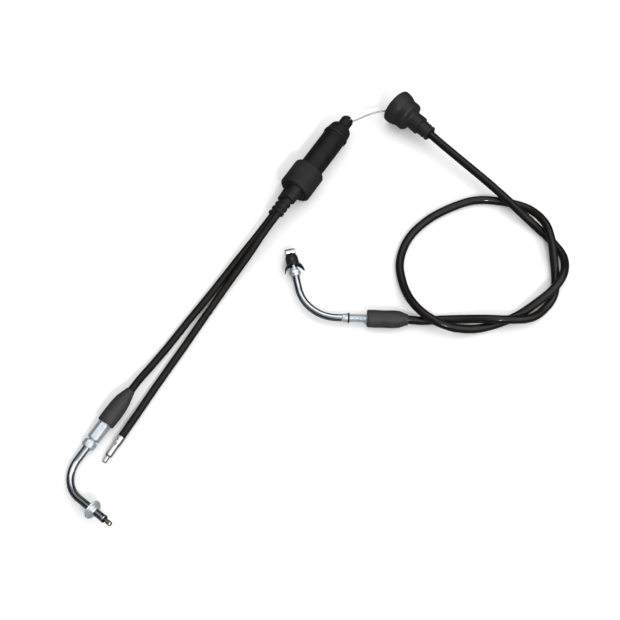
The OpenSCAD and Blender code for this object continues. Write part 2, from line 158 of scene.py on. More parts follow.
PAINTED_EDGE_SHADE = (0.1, 0.11, 0.12)  # painted shade: a dark tint on metals where they are seen edge-on, standing in for the reflection of a dark surround
MAT = {
    "housing": material("housing_plastic", (0.008, 0.0076, 0.008), 0.42, mottle=0.3,
                        mottle_scale=160, grain=0.25, grain_scale=1500, spec=0.2),
    "cap": material("cap_plastic", (0.01, 0.0096, 0.01), 0.45, mottle=0.3,
                    mottle_scale=160, grain=0.25, grain_scale=1500, spec=0.2),
    "collar": material("collar_rubber", (0.017, 0.0165, 0.0165), 0.55, mottle=0.25,
                       mottle_scale=90, grain=0.35, grain_scale=1100, spec=0.2),
    "boot": material("boot_rubber", (0.014, 0.0135, 0.0135), 0.5, mottle=0.3,
                     mottle_scale=140, grain=0.3, grain_scale=1200, spec=0.25),
    "cup": material("cup_rubber", (0.015, 0.0145, 0.0145), 0.5, mottle=0.3,
                    mottle_scale=110, grain=0.3, grain_scale=1100, spec=0.4),
    "sleeve": material("sleeve_rubber", (0.027, 0.0262, 0.027), 0.55, mottle=0.22,
                       mottle_scale=120, grain=0.4, grain_scale=1300, spec=0.45),
    "sheath_gloss": material("sheath_gloss_pvc", (0.007, 0.006, 0.0055), 0.3, mottle=0.3,
                             mottle_scale=60, rough_spread=0.05, grain=0.1,
                             grain_scale=500, spec=0.2, coat=0.3, coat_rough=0.04),
    "sheath_satin": material("sheath_satin_pvc", (0.009, 0.0078, 0.007), 0.3, mottle=0.35,
                             mottle_scale=90, rough_spread=0.08, grain=0.2,
                             grain_scale=700, spec=0.2),
    "zinc": material("zinc_plate", (0.72, 0.78, 0.83), 0.34, metal=0.75, mottle=0.1,
                     mottle_scale=300, rough_spread=0.07, grain=0.15, grain_scale=1600,
                     tint=(0.84, 0.92, 0.97), painted_edge_shade=PAINTED_EDGE_SHADE),
    "tube": material("zinc_tube", (0.66, 0.71, 0.76), 0.15, metal=1.0, mottle=0.12,
                     mottle_scale=220, rough_spread=0.06, grain=0.1, grain_scale=1200,
                     tint=(0.82, 0.88, 0.92), painted_edge_shade=PAINTED_EDGE_SHADE),
    "alloy": material("ferrule_alloy", (0.9, 0.9, 0.89), 0.32, metal=1.0, mottle=0.08,
                      mottle_scale=400, rough_spread=0.08, grain=0.3, grain_scale=1800,
                      tint=(0.97, 0.97, 0.96), painted_edge_shade=PAINTED_EDGE_SHADE),
    "wire": material("wire_steel", (0.55, 0.55, 0.55), 0.35, metal=1.0, mottle=0.3,
                     mottle_scale=700, grain=0.2, grain_scale=3000, painted_edge_shade=PAINTED_EDGE_SHADE),
    "nipple": material("nipple_alloy", (0.86, 0.87, 0.88), 0.3, metal=1.0, mottle=0.1,
                       mottle_scale=500, grain=0.3, grain_scale=2200,
                       tint=(0.95, 0.95, 0.95), painted_edge_shade=PAINTED_EDGE_SHADE),
    "warm": material("nipple_brass", (0.86, 0.7, 0.56), 0.3, metal=1.0, mottle=0.15,
                     mottle_scale=500, grain=0.3, grain_scale=2200,
                     tint=(0.95, 0.84, 0.74), painted_edge_shade=PAINTED_EDGE_SHADE),
    "solder": material("solder", (0.1, 0.1, 0.105), 0.4, metal=1.0, mottle=0.4,
                       mottle_scale=600, grain=0.4, grain_scale=1600, painted_edge_shade=PAINTED_EDGE_SHADE),
    "bush": material("bush_plastic", (0.012, 0.012, 0.012), 0.28, mottle=0.3,
                     mottle_scale=260, grain=0.2, grain_scale=1600, spec=0.3),
    "clip": material("clip_steel", (0.02, 0.02, 0.022), 0.35, metal=0.6, mottle=0.3,
                     mottle_scale=500, grain=0.2, painted_edge_shade=PAINTED_EDGE_SHADE),
    "slider": material("slider_plastic", (0.78, 0.78, 0.74), 0.4, mottle=0.06,
                       mottle_scale=160, grain=0.15, grain_scale=1400, spec=0.5),
}

# ---------------------------------------------------------------- shapes

NEARLY_STRAIGHT = math.radians(88)
SIDE_SHARE = 0.48
AXIS_R = 0.02  # stands in for a radius of nothing where a turned piece is solid


def fillet(points, steps=4):
    """a closed outline of (radius, station) or (radius, station, fillet) corners, rounded"""
    n = len(points)
    out = []
    for i, p in enumerate(points):
        here = Vector((p[0], p[1]))
        radius = p[2] if len(p) > 2 else 0
        if not radius:
            out.append(here)
            continue
        a = Vector(points[i - 1][:2]) - here
        b = Vector(points[(i + 1) % n][:2]) - here
        la, lb = a.length, b.length
        a.normalize()
        b.normalize()
        half = math.acos(max(-1, min(1, a.dot(b)))) / 2
        if half > NEARLY_STRAIGHT:
            out.append(here)
            continue
        back = min(radius / math.tan(half), la * SIDE_SHARE, lb * SIDE_SHARE)
        r = back * math.tan(half)
        centre = here + (a + b).normalized() * (r / math.sin(half))
        start = here + a * back - centre
        end = here + b * back - centre
        sweep = start.angle_signed(end) if start.length > 1e-9 else 0
        for k in range(steps + 1):
            t = -sweep * k / steps
            c, s = math.cos(t), math.sin(t)
            out.append(centre + Vector((start.x * c - start.y * s, start.x * s + start.y * c)))
    return out


def dense(points, step):
    """a closed outline with points no further apart than step"""
    out = []
    for a, b in zip(points, points[1:] + points[:1]):
        parts = max(1, int(math.ceil((b - a).length / step)))
        out += [a + (b - a) * k / parts for k in range(parts)]
    return out


def make(name, verts, faces, place):
    """a mesh object from points in millimetres in the frame called place"""
    mesh = bpy.data.meshes.new(name)
    mesh.from_pydata([(place @ Vector(v)) * MM for v in verts], [], faces)
    mesh.validate()
    bm = bmesh.new()
    bm.from_mesh(mesh)
    bmesh.ops.remove_doubles(bm, verts=bm.verts, dist=1e-7)
    bmesh.ops.recalc_face_normals(bm, faces=bm.faces)
    bm.to_mesh(mesh)
    bm.free()
    obj = bpy.data.objects.new(name, mesh)
    bpy.context.scene.collection.objects.link(obj)
    return obj


def turned(name, profile, place, seg=64, warp=None):
    """a closed outline of (radius, station) turned about the place's x axis"""
    verts, faces = [], []
    rows = len(profile)
    for p in profile:
        for k in range(seg):
            th = 2 * math.pi * k / seg
            r = p[0] if warp is None else warp(th, p[1], p[0])
            verts.append((p[1], r * math.cos(th), r * math.sin(th)))
    for i in range(rows):
        a, b = i * seg, ((i + 1) % rows) * seg
        for k in range(seg):
            k2 = (k + 1) % seg
            faces.append((a + k, a + k2, b + k2, b + k))
    return make(name, verts, faces, place)


def lofted(name, rings, place, closed_along=False):
    """a skin over rings of equal count, each a list of (x, y, z)"""
    n = len(rings[0])
    verts = [v for ring in rings for v in ring]
    faces = []
    rows = len(rings)
    for i in range(rows if closed_along else rows - 1):
        a, b = i * n, ((i + 1) % rows) * n
        for k in range(n):
            k2 = (k + 1) % n
            faces.append((a + k, a + k2, b + k2, b + k))
    if not closed_along:
        faces.append(tuple(range(n)))
        faces.append(tuple(reversed(range((rows - 1) * n, rows * n))))
    return make(name, verts, faces, place)


def dress(obj, body, slot, mat, *nodes, sharp=40):
    """smooths and colours a piece, parents it to its body and hides the nodes it replaces; slot
    is not used
    """
    mesh = obj.data
    for p in mesh.polygons:
        p.use_smooth = True
    mesh.set_sharp_from_angle(angle=math.radians(sharp))
    mesh.materials.clear()
    mesh.materials.append(MAT[mat])
    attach(obj, body)
    if nodes:
        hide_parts(*nodes)
    return obj


def join(name, objs):
    """one mesh object out of several"""
    bm = bmesh.new()
    for o in objs:
        bm.from_mesh(o.data)
    mesh = bpy.data.meshes.new(name)
    bm.to_mesh(mesh)
    bm.free()
    for o in objs:
        old = o.data
        bpy.data.objects.remove(o)
        bpy.data.meshes.remove(old)
    obj = bpy.data.objects.new(name, mesh)
    bpy.context.scene.collection.objects.link(obj)
    return obj


def cut(obj, cutters, operation="DIFFERENCE"):
    """applies booleans and removes the cutters"""
    for c in cutters:
        mod = obj.modifiers.new("cut", "BOOLEAN")
        mod.operation = operation
        mod.solver = "EXACT"
        mod.object = c
        deps = bpy.context.evaluated_depsgraph_get()
        mesh = bpy.data.meshes.new_from_object(obj.evaluated_get(deps))
        obj.modifiers.clear()
        old = obj.data
        obj.data = mesh
        bpy.data.meshes.remove(old)
        old = c.data
        bpy.data.objects.remove(c)
        bpy.data.meshes.remove(old)
    return obj


def block(low, high, place):
    """a box between two corners"""
    x0, y0, z0 = low
    x1, y1, z1 = high
    verts = [(x0, y0, z0), (x1, y0, z0), (x1, y1, z0), (x0, y1, z0),
             (x0, y0, z1), (x1, y0, z1), (x1, y1, z1), (x0, y1, z1)]
    faces = [(0, 3, 2, 1), (4, 5, 6, 7), (0, 1, 5, 4), (1, 2, 6, 5), (2, 3, 7, 6), (3, 0, 4, 7)]
    return make("block", verts, faces, place)


TUBE_R = 2.5
BORE_R = 1.5
THREAD_R = 2.8
THREAD_CORE_R = 2.42
PITCH = 1.0
BODY_BELOW_CORE = 0.3
FLANK = 1.5
ROOT_FLAT = 0.2
THREAD_STEP = 0.14
NUT_BORE_R = 2.86
HEX_AF = 8


def thread_warp(start, end):
    """the radius of a thread between two stations, plain elsewhere"""
    def warp(th, s, r):
        if r < THREAD_CORE_R - BODY_BELOW_CORE or not start <= s <= end:
            return r
        t = (s / PITCH - th / (2 * math.pi)) % 1.0
        tri = 1 - abs(2 * t - 1)
        depth = min(1, (s - start) / PITCH, (end - s) / PITCH)
        rise = min(1, max(0, tri * FLANK - ROOT_FLAT))
        return THREAD_CORE_R + (THREAD_R - THREAD_CORE_R) * rise * depth
    return warp


def threaded(name, start, tip, place):
    """the threaded stretch of a bent tube, where tip is its outline after the thread"""
    outline = [(BORE_R, start), (2.3, start), (THREAD_R, start + 0.5), *tip]
    run_out = 0.1
    return turned(name, dense(fillet(outline), THREAD_STEP), place, seg=40,
                  warp=thread_warp(start + run_out, tip[0][1] - run_out))


def hexagon(name, af, start, end, bore, place, spin=0.0, chamfer=0.5, seg=72):
    """a nut or a hexagon bar, af across its flats, with chamfered ends"""
    half = af / 2
    corner = half / math.cos(math.radians(30))
    worn = 0.06
    lip = 0.12

    def outline(limit):
        ring = []
        for k in range(seg):
            th = 2 * math.pi * k / seg
            wedge = (math.degrees(th) - spin) % 60 - 30
            r = half / math.cos(math.radians(wedge))
            r = min(r, corner - worn, limit)
            ring.append((r * math.cos(th), r * math.sin(th)))
        return ring

    rows = []
    for s, limit in ((start, corner - chamfer * 1.3), (start + lip, corner - chamfer * 0.9),
                     (start + chamfer, corner), (end - chamfer, corner),
                     (end - lip, corner - chamfer * 0.9), (end, corner - chamfer * 1.3)):
        rows.append([(s, y, z) for y, z in outline(limit)])
    for s in (end, start):
        rows.append([(s, bore * math.cos(2 * math.pi * k / seg),
                      bore * math.sin(2 * math.pi * k / seg)) for k in range(seg)])
    return lofted(name, rows, place, closed_along=True)


def swept(name, centres, radius, bore, place, seg=40):
    """a pipe along points in the place's own xy plane"""
    count = len(centres)

    def ring(i, r):
        a = Vector(centres[max(0, i - 1)])
        b = Vector(centres[min(count - 1, i + 1)])
        t = (b - a).normalized()
        side = Vector((-t.y, t.x, 0))
        c = Vector(centres[i])
        return [tuple(c + side * (r * math.cos(2 * math.pi * k / seg))
                      + Vector((0, 0, r * math.sin(2 * math.pi * k / seg)))) for k in range(seg)]

    outside = [ring(i, radius) for i in range(count)]
    inside = [ring(i, bore) for i in reversed(range(count))]
    return lofted(name, outside + inside, place, closed_along=True)


def bend_path(start, straight, radius, angle, side, tail, step=1.5, arc_parts=28):
    """points of a straight from start to its bend, the bend, and a straight of length tail"""
    n = max(1, int((straight - start) / step))
    pts = [(start + (straight - start) * k / n, 0, 0) for k in range(n)]
    a = math.radians(angle)
    for k in range(arc_parts + 1):
        t = a * k / arc_parts
        pts.append((straight + radius * math.sin(t), side * radius * (1 - math.cos(t)), 0))
    ex, ey = pts[-1][0], pts[-1][1]
    n = max(1, int(tail / step))
    for k in range(1, n + 1):
        d = tail * k / n
        pts.append((ex + d * math.cos(a), ey + side * d * math.sin(a), 0))
    return pts


# ---------------------------------------------------------------- cords

# each route is the one in the part's source, from the splitter outwards
UPPER = [
    (43.2, 72.9, 13.2), (57.5, 69.6, 13.2), (73, 66, 12.9), (92, 62.5, 11.4),
    (112, 58.8, 9.9), (130, 54.1, 9.9), (146, 50.5, 7.6), (162, 48, 3.7),
    (177, 43.7, 3.3), (189.2, 35.4, 6.1), (195.2, 22.2, 9.5), (194.8, 7.8, 9.6),
    (189.8, -7.2, 7.3), (183.1, -20.8, 3.4), (173.5, -35, 3.1), (162.8, -46.8, 4.5),
    (149.3, -56.1, 8.8), (134.4, -58.9, 11), (118.8, -54.8, 8.6), (104.8, -44.7, 4.6),
    (92.5, -29.3, 3.1), (88, -9.5, 3), (91.7, 10.8, 3), (101, 29.5, 3),
    (113.3, 44.7, 3), (131, 54.3, 3.1), (148.8, 57.8, 5), (164, 52.2, 9),
    (174.5, 42.4, 9.9), (182.8, 31.7, 7.1), (190.9, 20.6, 3.7), (196.7, 8, 3.1),
    (196.7, -4.9, 3.4), (192.3, -18.4, 6.2), (180.3, -29.9, 9.9), (166.7, -37.8, 9.3),
    (152.5, -45, 5.4), (139.5, -53, 3.4), (129.8, -60.8, 4.4), (121.3, -66.3, 6.25),
    (110.5, -72.8, 6.25)]
WIRE = [
    (0, 36, 12), (0, 41, 12), (0.4, 45.6, 12.1), (3.4, 48, 12.1), (7, 53.4, 12.4),
    (11.2, 60.1, 12.8), (15, 64.7, 13), (20.4, 69.6, 13.2), (28, 74.5, 13.2),
    (36, 74.9, 13.2), (43, 72.95, 13.2)]
CARB_CORD = [
    (-2.8, -31.6, 8.7), (-2.8, -49.5, 8.7), (-3.4, -68.5, 7.3), (-4.6, -90, 5.4),
    (-5.5, -110, 3.8), (-6.3, -128.5, 2.7), (-7.1, -150, 2.6), (-7.6, -171, 2.6),
    (-8.3, -189, 3.3), (-8.1, -203, 6.7), (-7.6, -213.7, 8.6), (-8.35, -230.1, 7.2)]
PUMP_CORD = [
    (1.8, -31.6, 15.3), (1.8, -49.5, 15.3), (1, -68.2, 12), (0.8, -88, 8),
    (0.2, -106, 5), (0.2, -124, 3.1), (0.8, -144.5, 2.6), (1.7, -164.5, 2.6),
    (2.3, -184, 2.6), (3, -203.5, 2.6), (4, -223, 2.7), (4.8, -242.3, 2.9),
    (5.02, -247.3, 2.9)]
UPPER_D = 6.0
LOWER_D = 5.2
WIRE_D = 1.2
PUMP_WIRE_D = 1.0


def tangents(route):
    """the points of a route with the direction of travel at each"""
    p = [Vector(q) for q in route]
    out = []
    for i in range(len(p)):
        if i == 0:
            out.append(p[1] - p[0])
        elif i == len(p) - 1:
            out.append(p[-1] - p[-2])
        else:
            out.append((p[i + 1] - p[i - 1]) / 2)
    return p, out


def smooth_points(route, parts):
    """points along the smooth curve through a route"""
    p, t = tangents(route)
    out = []
    for i in range(len(p) - 1):
        for k in range(parts):
            u = k / parts
            h00 = 2 * u ** 3 - 3 * u ** 2 + 1
            h10 = u ** 3 - 2 * u ** 2 + u
            h01 = -2 * u ** 3 + 3 * u ** 2
            h11 = u ** 3 - u ** 2
            out.append(p[i] * h00 + t[i] * h10 + p[i + 1] * h01 + t[i + 1] * h11)
    out.append(p[-1])
    return out


def cord_curve(name, route, d, mat):
    """a round cord, d thick, along the smooth curve through a route"""
    data = bpy.data.curves.new(name, "CURVE")
    data.dimensions = "3D"
    data.bevel_depth = d / 2 * MM
    data.bevel_resolution = 8
    data.resolution_u = 10
    data.use_fill_caps = True
    spline = data.splines.new("BEZIER")
    spline.bezier_points.add(len(route) - 1)
    p, t = tangents(route)
    for i, bp in enumerate(spline.bezier_points):
        bp.handle_left_type = "FREE"
        bp.handle_right_type = "FREE"
        bp.co = p[i] * MM
        bp.handle_left = (p[i] - t[i] / 3) * MM
        bp.handle_right = (p[i] + t[i] / 3) * MM
    data.materials.append(MAT[mat])
    obj = bpy.data.objects.new(name, data)
    bpy.context.scene.collection.objects.link(obj)
    return obj


def strand_mesh(name, points, d, place, lay=4.5, lobes=6, seg=30, step=0.35, groove=0.22):
    """a stranded wire: a section with lobes that twist once in each lay along its points"""
    path = [points[0]]
    for a, b in zip(points, points[1:]):
        n = max(1, int((b - a).length / step))
        path += [a + (b - a) * k / n for k in range(1, n + 1)]
    rings = []
    run = 0.0
    for i, c in enumerate(path):
        if i:
            run += (c - path[i - 1]).length
        a = path[max(0, i - 1)]
        b = path[min(len(path) - 1, i + 1)]
        t = (b - a).normalized()
        side = t.cross(Vector((0, 0, 1))).normalized()
        up = side.cross(t)
        ring = []
        for k in range(seg):
            th = 2 * math.pi * k / seg
            wave = abs(math.sin(lobes / 2 * (th + 2 * math.pi * run / lay)))
            r = d / 2 * (1 - groove + groove * wave)
            ring.append(tuple(c + side * (r * math.cos(th)) + up * (r * math.sin(th))))
        rings.append(ring)
    return lofted(name, rings, place)


def wire_end(name, start, end, d, place):
    """a short straight stranded wire between two stations"""
    return strand_mesh(name, [Vector((start, 0, 0)), Vector((end, 0, 0))], d, place)


throttle_sheath = cord_curve("upper_sheath", UPPER, UPPER_D, "sheath_gloss")
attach(throttle_sheath, "splitter")
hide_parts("throttle_sheath")

carb_sheath = cord_curve("lower_sheath_carb", CARB_CORD, LOWER_D, "sheath_satin")
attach(carb_sheath, "splitter")
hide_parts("carb_sheath")

pump_sheath = cord_curve("lower_sheath_pump", PUMP_CORD, LOWER_D, "sheath_satin")
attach(pump_sheath, "splitter")
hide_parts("pump_sheath")

wire_points = smooth_points(WIRE, 12)
bare_wire = strand_mesh("bare_wire", wire_points, WIRE_D, Matrix.Identity(4))
dress(bare_wire, "splitter", "wire_steel", "wire", "throttle_wire_run", sharp=60)

# ---------------------------------------------------------------- splitter

HOUSING_R = 8.9
HOUSING_BORE_R = 6.5
SEAM_HEIGHT = 0.05
SEAM_SHARPNESS = 900


def seam(th, s, r):
    """a fine parting line on the top and the bottom of a moulded piece"""
    off = abs(math.sin(th))
    return r + SEAM_HEIGHT * max(0, 1 - (1 - off) * SEAM_SHARPNESS)


housing = turned("splitter_tube", dense(fillet([
    (HOUSING_BORE_R, -22, 0.2), (HOUSING_R, -22, 0.3), (HOUSING_R, 28.6, 0.3), (7.0, 28.6),
    (HOUSING_BORE_R, 28.1)]), 6), SPLITTER, seg=96, warp=seam)
dress(housing, "splitter", "plastic", "housing", "splitter_housing")

cap = turned("splitter_end_cap", fillet([
    (3, 25), (6.1, 25, 0.2), (HOUSING_BORE_R, 25.5, 0.1), (HOUSING_BORE_R, 28.1), (7.0, 28.6),
    (9.3, 28.6, 0.1), (9.5, 28.8, 0.15), (9.5, 30.9, 0.3), (8.95, 31.8, 0.4), (8.6, 34.5, 2.0),
    (8.3, 36.5, 1.5), (7.8, 38.0, 0.6), (6.8, 39.1, 0.4), (5.2, 39.6, 0.3), (4.8, 40.1, 0.4),
    (4.8, 46.5, 1.0), (4.2, 47.9, 0.8), (2.9, 49.1, 0.5), (2.2, 49.5, 0.2), (1.5, 49.5, 0.2),
    (1.5, 33), (3, 33)]), SPLITTER, seg=72)
slot_cut = block((46, -2.8, -6), (52, -1.6, 6), SPLITTER)
window = block((45.4, -7, -0.9), (52, 0, 0.9), SPLITTER)
cut(cap, [slot_cut, window])
dress(cap, "splitter", "plastic", "cap", "splitter_cap", sharp=32)

collar = turned("splitter_collar_ring", dense(fillet([
    (HOUSING_R, -24.6), (9.6, -25.3, 0.3), (11.2, -25.5, 0.8), (12.0, -24.4, 0.9),
    (12.0, -6.2, 0.8), (11.4, -5.0, 0.5), (9.3, -5.0, 0.3), (HOUSING_R, -5.4)], steps=5), 3),
    SPLITTER, seg=96)
dress(collar, "splitter", "rubber", "collar", "splitter_collar")

# the plug, with a neck shaped round both outlets


def lobed(s, r, seg=96, blend=3):
    """a ring at station s round the two outlets, each with radius r, blended where they meet"""
    ring = []
    mid = ((CARB_LOBE[0] + PUMP_LOBE[0]) / 2, (CARB_LOBE[1] + PUMP_LOBE[1]) / 2)
    for k in range(seg):
        th = 2 * math.pi * k / seg
        d = (math.cos(th), math.sin(th))
        reach = []
        for c in (CARB_LOBE, PUMP_LOBE):
            o = (c[0] - mid[0], c[1] - mid[1])
            along = o[0] * d[0] + o[1] * d[1]
            off2 = o[0] ** 2 + o[1] ** 2 - along ** 2
            reach.append(along + math.sqrt(max(0, r * r - off2)) if off2 < r * r else 0)
        q = math.log(sum(math.exp(v * blend) for v in reach)) / blend
        ring.append((s, mid[0] + d[0] * q, mid[1] + d[1] * q))
    return ring


NECK = [(-25.3, 5.6), (-26.0, 5.45), (-29.4, 5.4), (-29.6, 5.3), (-30.0, 5.15), (-33.2, 5.1),
        (-33.4, 5.0), (-35.5, 5.0), (-35.85, 4.9), (-36.0, 4.6)]
BLEND_SWELL = 0.12
neck = lofted("neck", [lobed(s, r - BLEND_SWELL) for s, r in NECK], SPLITTER)
plug_body = turned("outlet_plug_body", fillet([
    (AXIS_R, -25.5), (8.6, -25.5, 0.2), (HOUSING_R, -25.2, 0.2), (HOUSING_R, -22),
    (HOUSING_BORE_R, -22), (HOUSING_BORE_R, -12, 0.4), (AXIS_R, -12)]), SPLITTER, seg=72)
cut(plug_body, [neck], "UNION")
bores = []
for lobe in (CARB_LOBE, PUMP_LOBE):
    bores.append(turned("bore", [(AXIS_R, -40), (3.0, -40), (3.0, -30.6), (1.5, -30.6),
                                 (1.5, -10), (AXIS_R, -10)], at_outlet(lobe), seg=40))
cut(plug_body, bores)
dress(plug_body, "splitter", "plastic", "boot", "outlet_plug", sharp=32)


RIBS = (-39.9, -44.1, -48.3)
RIB_ROOT_R = 3.4
RIB_NOTCH = 0.25


def boot(name, lobe, node):
    """a rubber boot with three ribs, each notched in four places round it"""
    outline = [(2.6, -36.0), (3.3, -36.0, 0.1)]
    for s in RIBS:
        outline += [(3.15, s + 1.3, 0.3), (3.95, s + 1.0, 0.3), (4.0, s - 0.9, 0.35),
                    (3.15, s - 1.25, 0.3)]
    outline = outline[:-1] + [(3.0, -49.5, 0.3), (2.6, -49.5)]

    def notches(th, s, r):
        return r - (RIB_NOTCH if r > RIB_ROOT_R and abs(math.sin(th * 2)) > 0.985 else 0)

    o = turned(name, dense(fillet(outline), 0.8), at_outlet(lobe), seg=56, warp=notches)
    return dress(o, "splitter", "rubber", "boot", node)


boot("outlet_boot_carb", CARB_LOBE, "carb_outlet_boot")
boot("outlet_boot_pump", PUMP_LOBE, "pump_outlet_boot")

# ---------------------------------------------------------------- dust cup

cup = turned("dust_cup_shell", dense(fillet([
    (10.8, 0, 0.2), (12.8, 0, 0.4), (13.2, 0.9, 0.6), (13.2, 3.0, 1.5), (12.9, 5.0, 2.0),
    (12.25, 7.0, 1.5), (11.4, 8.9, 0.5), (11.3, 9.6, 0.5), (11.3, 14.1, 0.6), (10.7, 15.4, 0.5),
    (8.9, 16.1, 0.6), (7.0, 17.1, 0.6), (6.7, 18.6, 0.8), (6.9, 21.0, 2.0), (7.05, 24.0, 1.0),
    (7.0, 25.7, 0.3), (5.2, 26.2, 0.3), (5.1, 27.0, 0.2), (5.7, 27.3, 0.25), (5.7, 29.0, 0.25),
    (5.1, 29.3, 0.2), (5.1, 30.2, 0.2), (5.7, 30.5, 0.25), (5.7, 32.0, 0.25), (5.0, 32.3, 0.2),
    (5.0, 33.4, 0.2), (5.6, 33.7, 0.25), (5.6, 35.2, 0.25), (5.2, 35.5, 0.2), (3.3, 35.5),
    (3.3, 29.8), (4.05, 29.8), (4.05, 15.2, 0.4), (9.2, 14.2, 1.0), (9.2, 4.2, 0.6),
    (10.0, 1.8, 0.4)], steps=4), 1.2), CUP, seg=96)
dress(cup, "cup", "rubber", "cup", "dust_cup", sharp=50)

# ---------------------------------------------------------------- throttle end


def uneven(th, s, r):
    """the softness of a rubber sleeve: two faint waves that wind round it"""
    return r + 0.06 * math.sin(3 * th + s * 0.31) + 0.05 * math.sin(2 * th - s * 0.47)


sleeve = turned("throttle_sleeve_rubber", dense(fillet([
    (3.3, -28.6), (3.8, -28.6, 0.25), (4.1, -27.3, 0.5), (5.1, -24.9, 1.5), (5.95, -22.2, 2.0),
    (6.15, -18, 1.0), (6.15, -1.4, 0.5), (5.8, -0.2, 0.6), (5.3, -0.1, 0.2), (5.3, -21.3),
    (3.3, -23)]), 1.5), THROTTLE, seg=72, warp=uneven)
dress(sleeve, "splitter", "rubber", "sleeve", "throttle_sleeve", sharp=50)

barrel = turned("throttle_barrel_adjuster", fillet([
    (3.1, -16), (3.1, -20.8, 0.2), (4.9, -21, 0.3), (4.9, -1.0, 0.5), (3.0, -1.0, 0.2),
    (NUT_BORE_R, -1.3), (NUT_BORE_R, -14.5), (1.0, -14.5), (1.0, -16)]), THROTTLE, seg=56)
dress(barrel, "throttle_barrel", "zinc", "zinc", "throttle_adjuster")

clip = turned("throttle_retaining_clip", fillet([
    (THREAD_R, 12.1), (3.6, 12.1, 0.15), (3.75, 12.4, 0.1), (3.75, 12.8, 0.1), (3.6, 13.0, 0.1),
    (THREAD_R, 13.0)]), THROTTLE, seg=56)
notch = block((11, 2.2, -0.6), (14, 4.5, 0.6), THROTTLE)
cut(clip, [notch])
dress(clip, "throttle_elbow", "dark_steel", "clip", "throttle_clip")

tube_path = bend_path(13, THROTTLE_STRAIGHT, THROTTLE_BEND_R, THROTTLE_BEND, RIGHT, 24)
throttle_tube = swept("throttle_tube_bent", tube_path, TUBE_R, BORE_R, THROTTLE)
dress(throttle_tube, "throttle_elbow", "zinc", "tube", "throttle_tube", sharp=35)
throttle_thread = threaded("throttle_tube_thread", -6, [(THREAD_R, 13.0), (BORE_R, 13.0)],
                           THROTTLE)
dress(throttle_thread, "throttle_elbow", "zinc", "zinc", sharp=35)


def pressed(th, s, r):
    """eight shallow dents round the pressed collar"""
    return r - (0.12 if 14.7 < s < 16.5 and math.cos(th * 8) > 0.3 else 0)


ring_collar = turned("throttle_tube_ring", dense(fillet([
    (TUBE_R, 13.1), (2.9, 13.05, 0.1), (3.1, 13.3, 0.15), (3.1, 14.3, 0.2), (2.95, 14.8, 0.2),
    (2.95, 15.5, 0.2), (2.8, 16.6, 0.2), (2.62, 17.1, 0.1), (TUBE_R, 17.2)]), 0.4),
    THROTTLE, seg=48, warp=pressed)
dress(ring_collar, "throttle_elbow", "zinc", "zinc", "throttle_tube_collar")

nut_body = hexagon("throttle_tube_hex", 7.3, 11.4, 13.8, TUBE_R, THROTTLE_LEG)
nut_cone = turned("cone", fillet([
    (TUBE_R, 10.0), (2.9, 10.0, 0.1), (3.05, 10.4, 0.2), (3.6, 11.4, 0.1), (TUBE_R, 11.4)]),
    THROTTLE_LEG, seg=48)
neck_ring = turned("neck_ring", fillet([
    (TUBE_R, 13.8), (2.95, 13.8), (2.95, 16.2, 0.2), (TUBE_R, 16.4)]), THROTTLE_LEG, seg=48)
tube_nut = join("throttle_tube_hex", [nut_body, nut_cone, neck_ring])
dress(tube_nut, "throttle_elbow", "zinc", "zinc", "throttle_tube_nut", sharp=25)

# the bush and its two swept wings
bush = turned("snap_in_bush", fillet([
    (1.2, 24.3), (1.2, 26.9), (2.3, 27.0, 0.2), (3.7, 26.8, 0.5), (4.35, 25.7, 0.8),
    (4.5, 24.0, 0.4), (4.5, 22.4, 0.15), (4.2, 22.0, 0.1), (4.2, 21.5, 0.1),
    (4.5, 21.2, 0.1), (4.5, 20.5, 0.15), (4.0, 20.3, 0.1), (3.5, 18.5, 0.2),
    (2.56, 18.5), (2.56, 24.3)]), THROTTLE_LEG, seg=64)


WING_CENTRE = 13.8
WING_R = 7.15
WING_DEPTH = 1.75
WING_HALF = 2.5
WING_FROM = 24
WING_SWEEP = 66
WING_PARTS = 24


def wing(side):
    """an arched wing that thins towards its tip, with a groove along its inner face"""
    rings = []
    for k in range(WING_PARTS + 1):
        along = k / WING_PARTS
        a = math.radians(WING_FROM + WING_SWEEP * along)
        half = WING_HALF * (1 - 0.35 * along ** 4)
        rim = WING_R - 0.25
        inner = WING_R - WING_DEPTH * (1 - 0.55 * along ** 3)
        section = [(rim, -half), (rim, half), (inner + 0.5, half), (inner + 0.5, half - 0.8),
                   (inner + 0.9, half - 0.9), (inner + 0.9, -half + 0.9),
                   (inner + 0.5, -half + 0.8), (inner + 0.5, -half)]
        rings.append([(WING_CENTRE + r * math.cos(a), side * r * math.sin(a), z)
                      for r, z in section])
    return lofted("wing", rings, THROTTLE_LEG)


bush = join("snap_in_bush", [bush, wing(LEFT), wing(RIGHT)])
dress(bush, "bush", "bush_plastic", "bush", "snap_bush", sharp=35)

# the barrel nipple, which lies across the end of the wire
NIPPLE_AT = 29.8
ACROSS = (THROTTLE_LEG @ Matrix.Translation(Vector((NIPPLE_AT, 0, 0)))
          @ Matrix.Rotation(math.radians(90), 4, "Z"))
throttle_nipple = turned("twist_grip_nipple", fillet([
    (AXIS_R, -3.6), (2.1, -3.6, 0.2), (2.4, -3.3, 0.25), (2.4, 3.3, 0.25), (2.1, 3.6, 0.2),
    (AXIS_R, 3.6)]), ACROSS, seg=56)
dress(throttle_nipple, "throttle_end", "nipple_steel", "nipple", "throttle_nipple")
blob = turned("twist_grip_solder", fillet([
    (AXIS_R, 31.3), (1.45, 31.3), (1.35, 32.0, 0.3), (0.8, 32.2, 0.3), (AXIS_R, 32.2)]),
    THROTTLE_LEG, seg=40)
dress(blob, "throttle_end", "nipple_steel", "solder")
throttle_wire = wire_end("throttle_wire_tail", 1, NIPPLE_AT, WIRE_D, THROTTLE_LEG)
dress(throttle_wire, "throttle_end", "wire_steel", "wire", "throttle_wire_end", sharp=60)

# ---------------------------------------------------------------- carburettor end

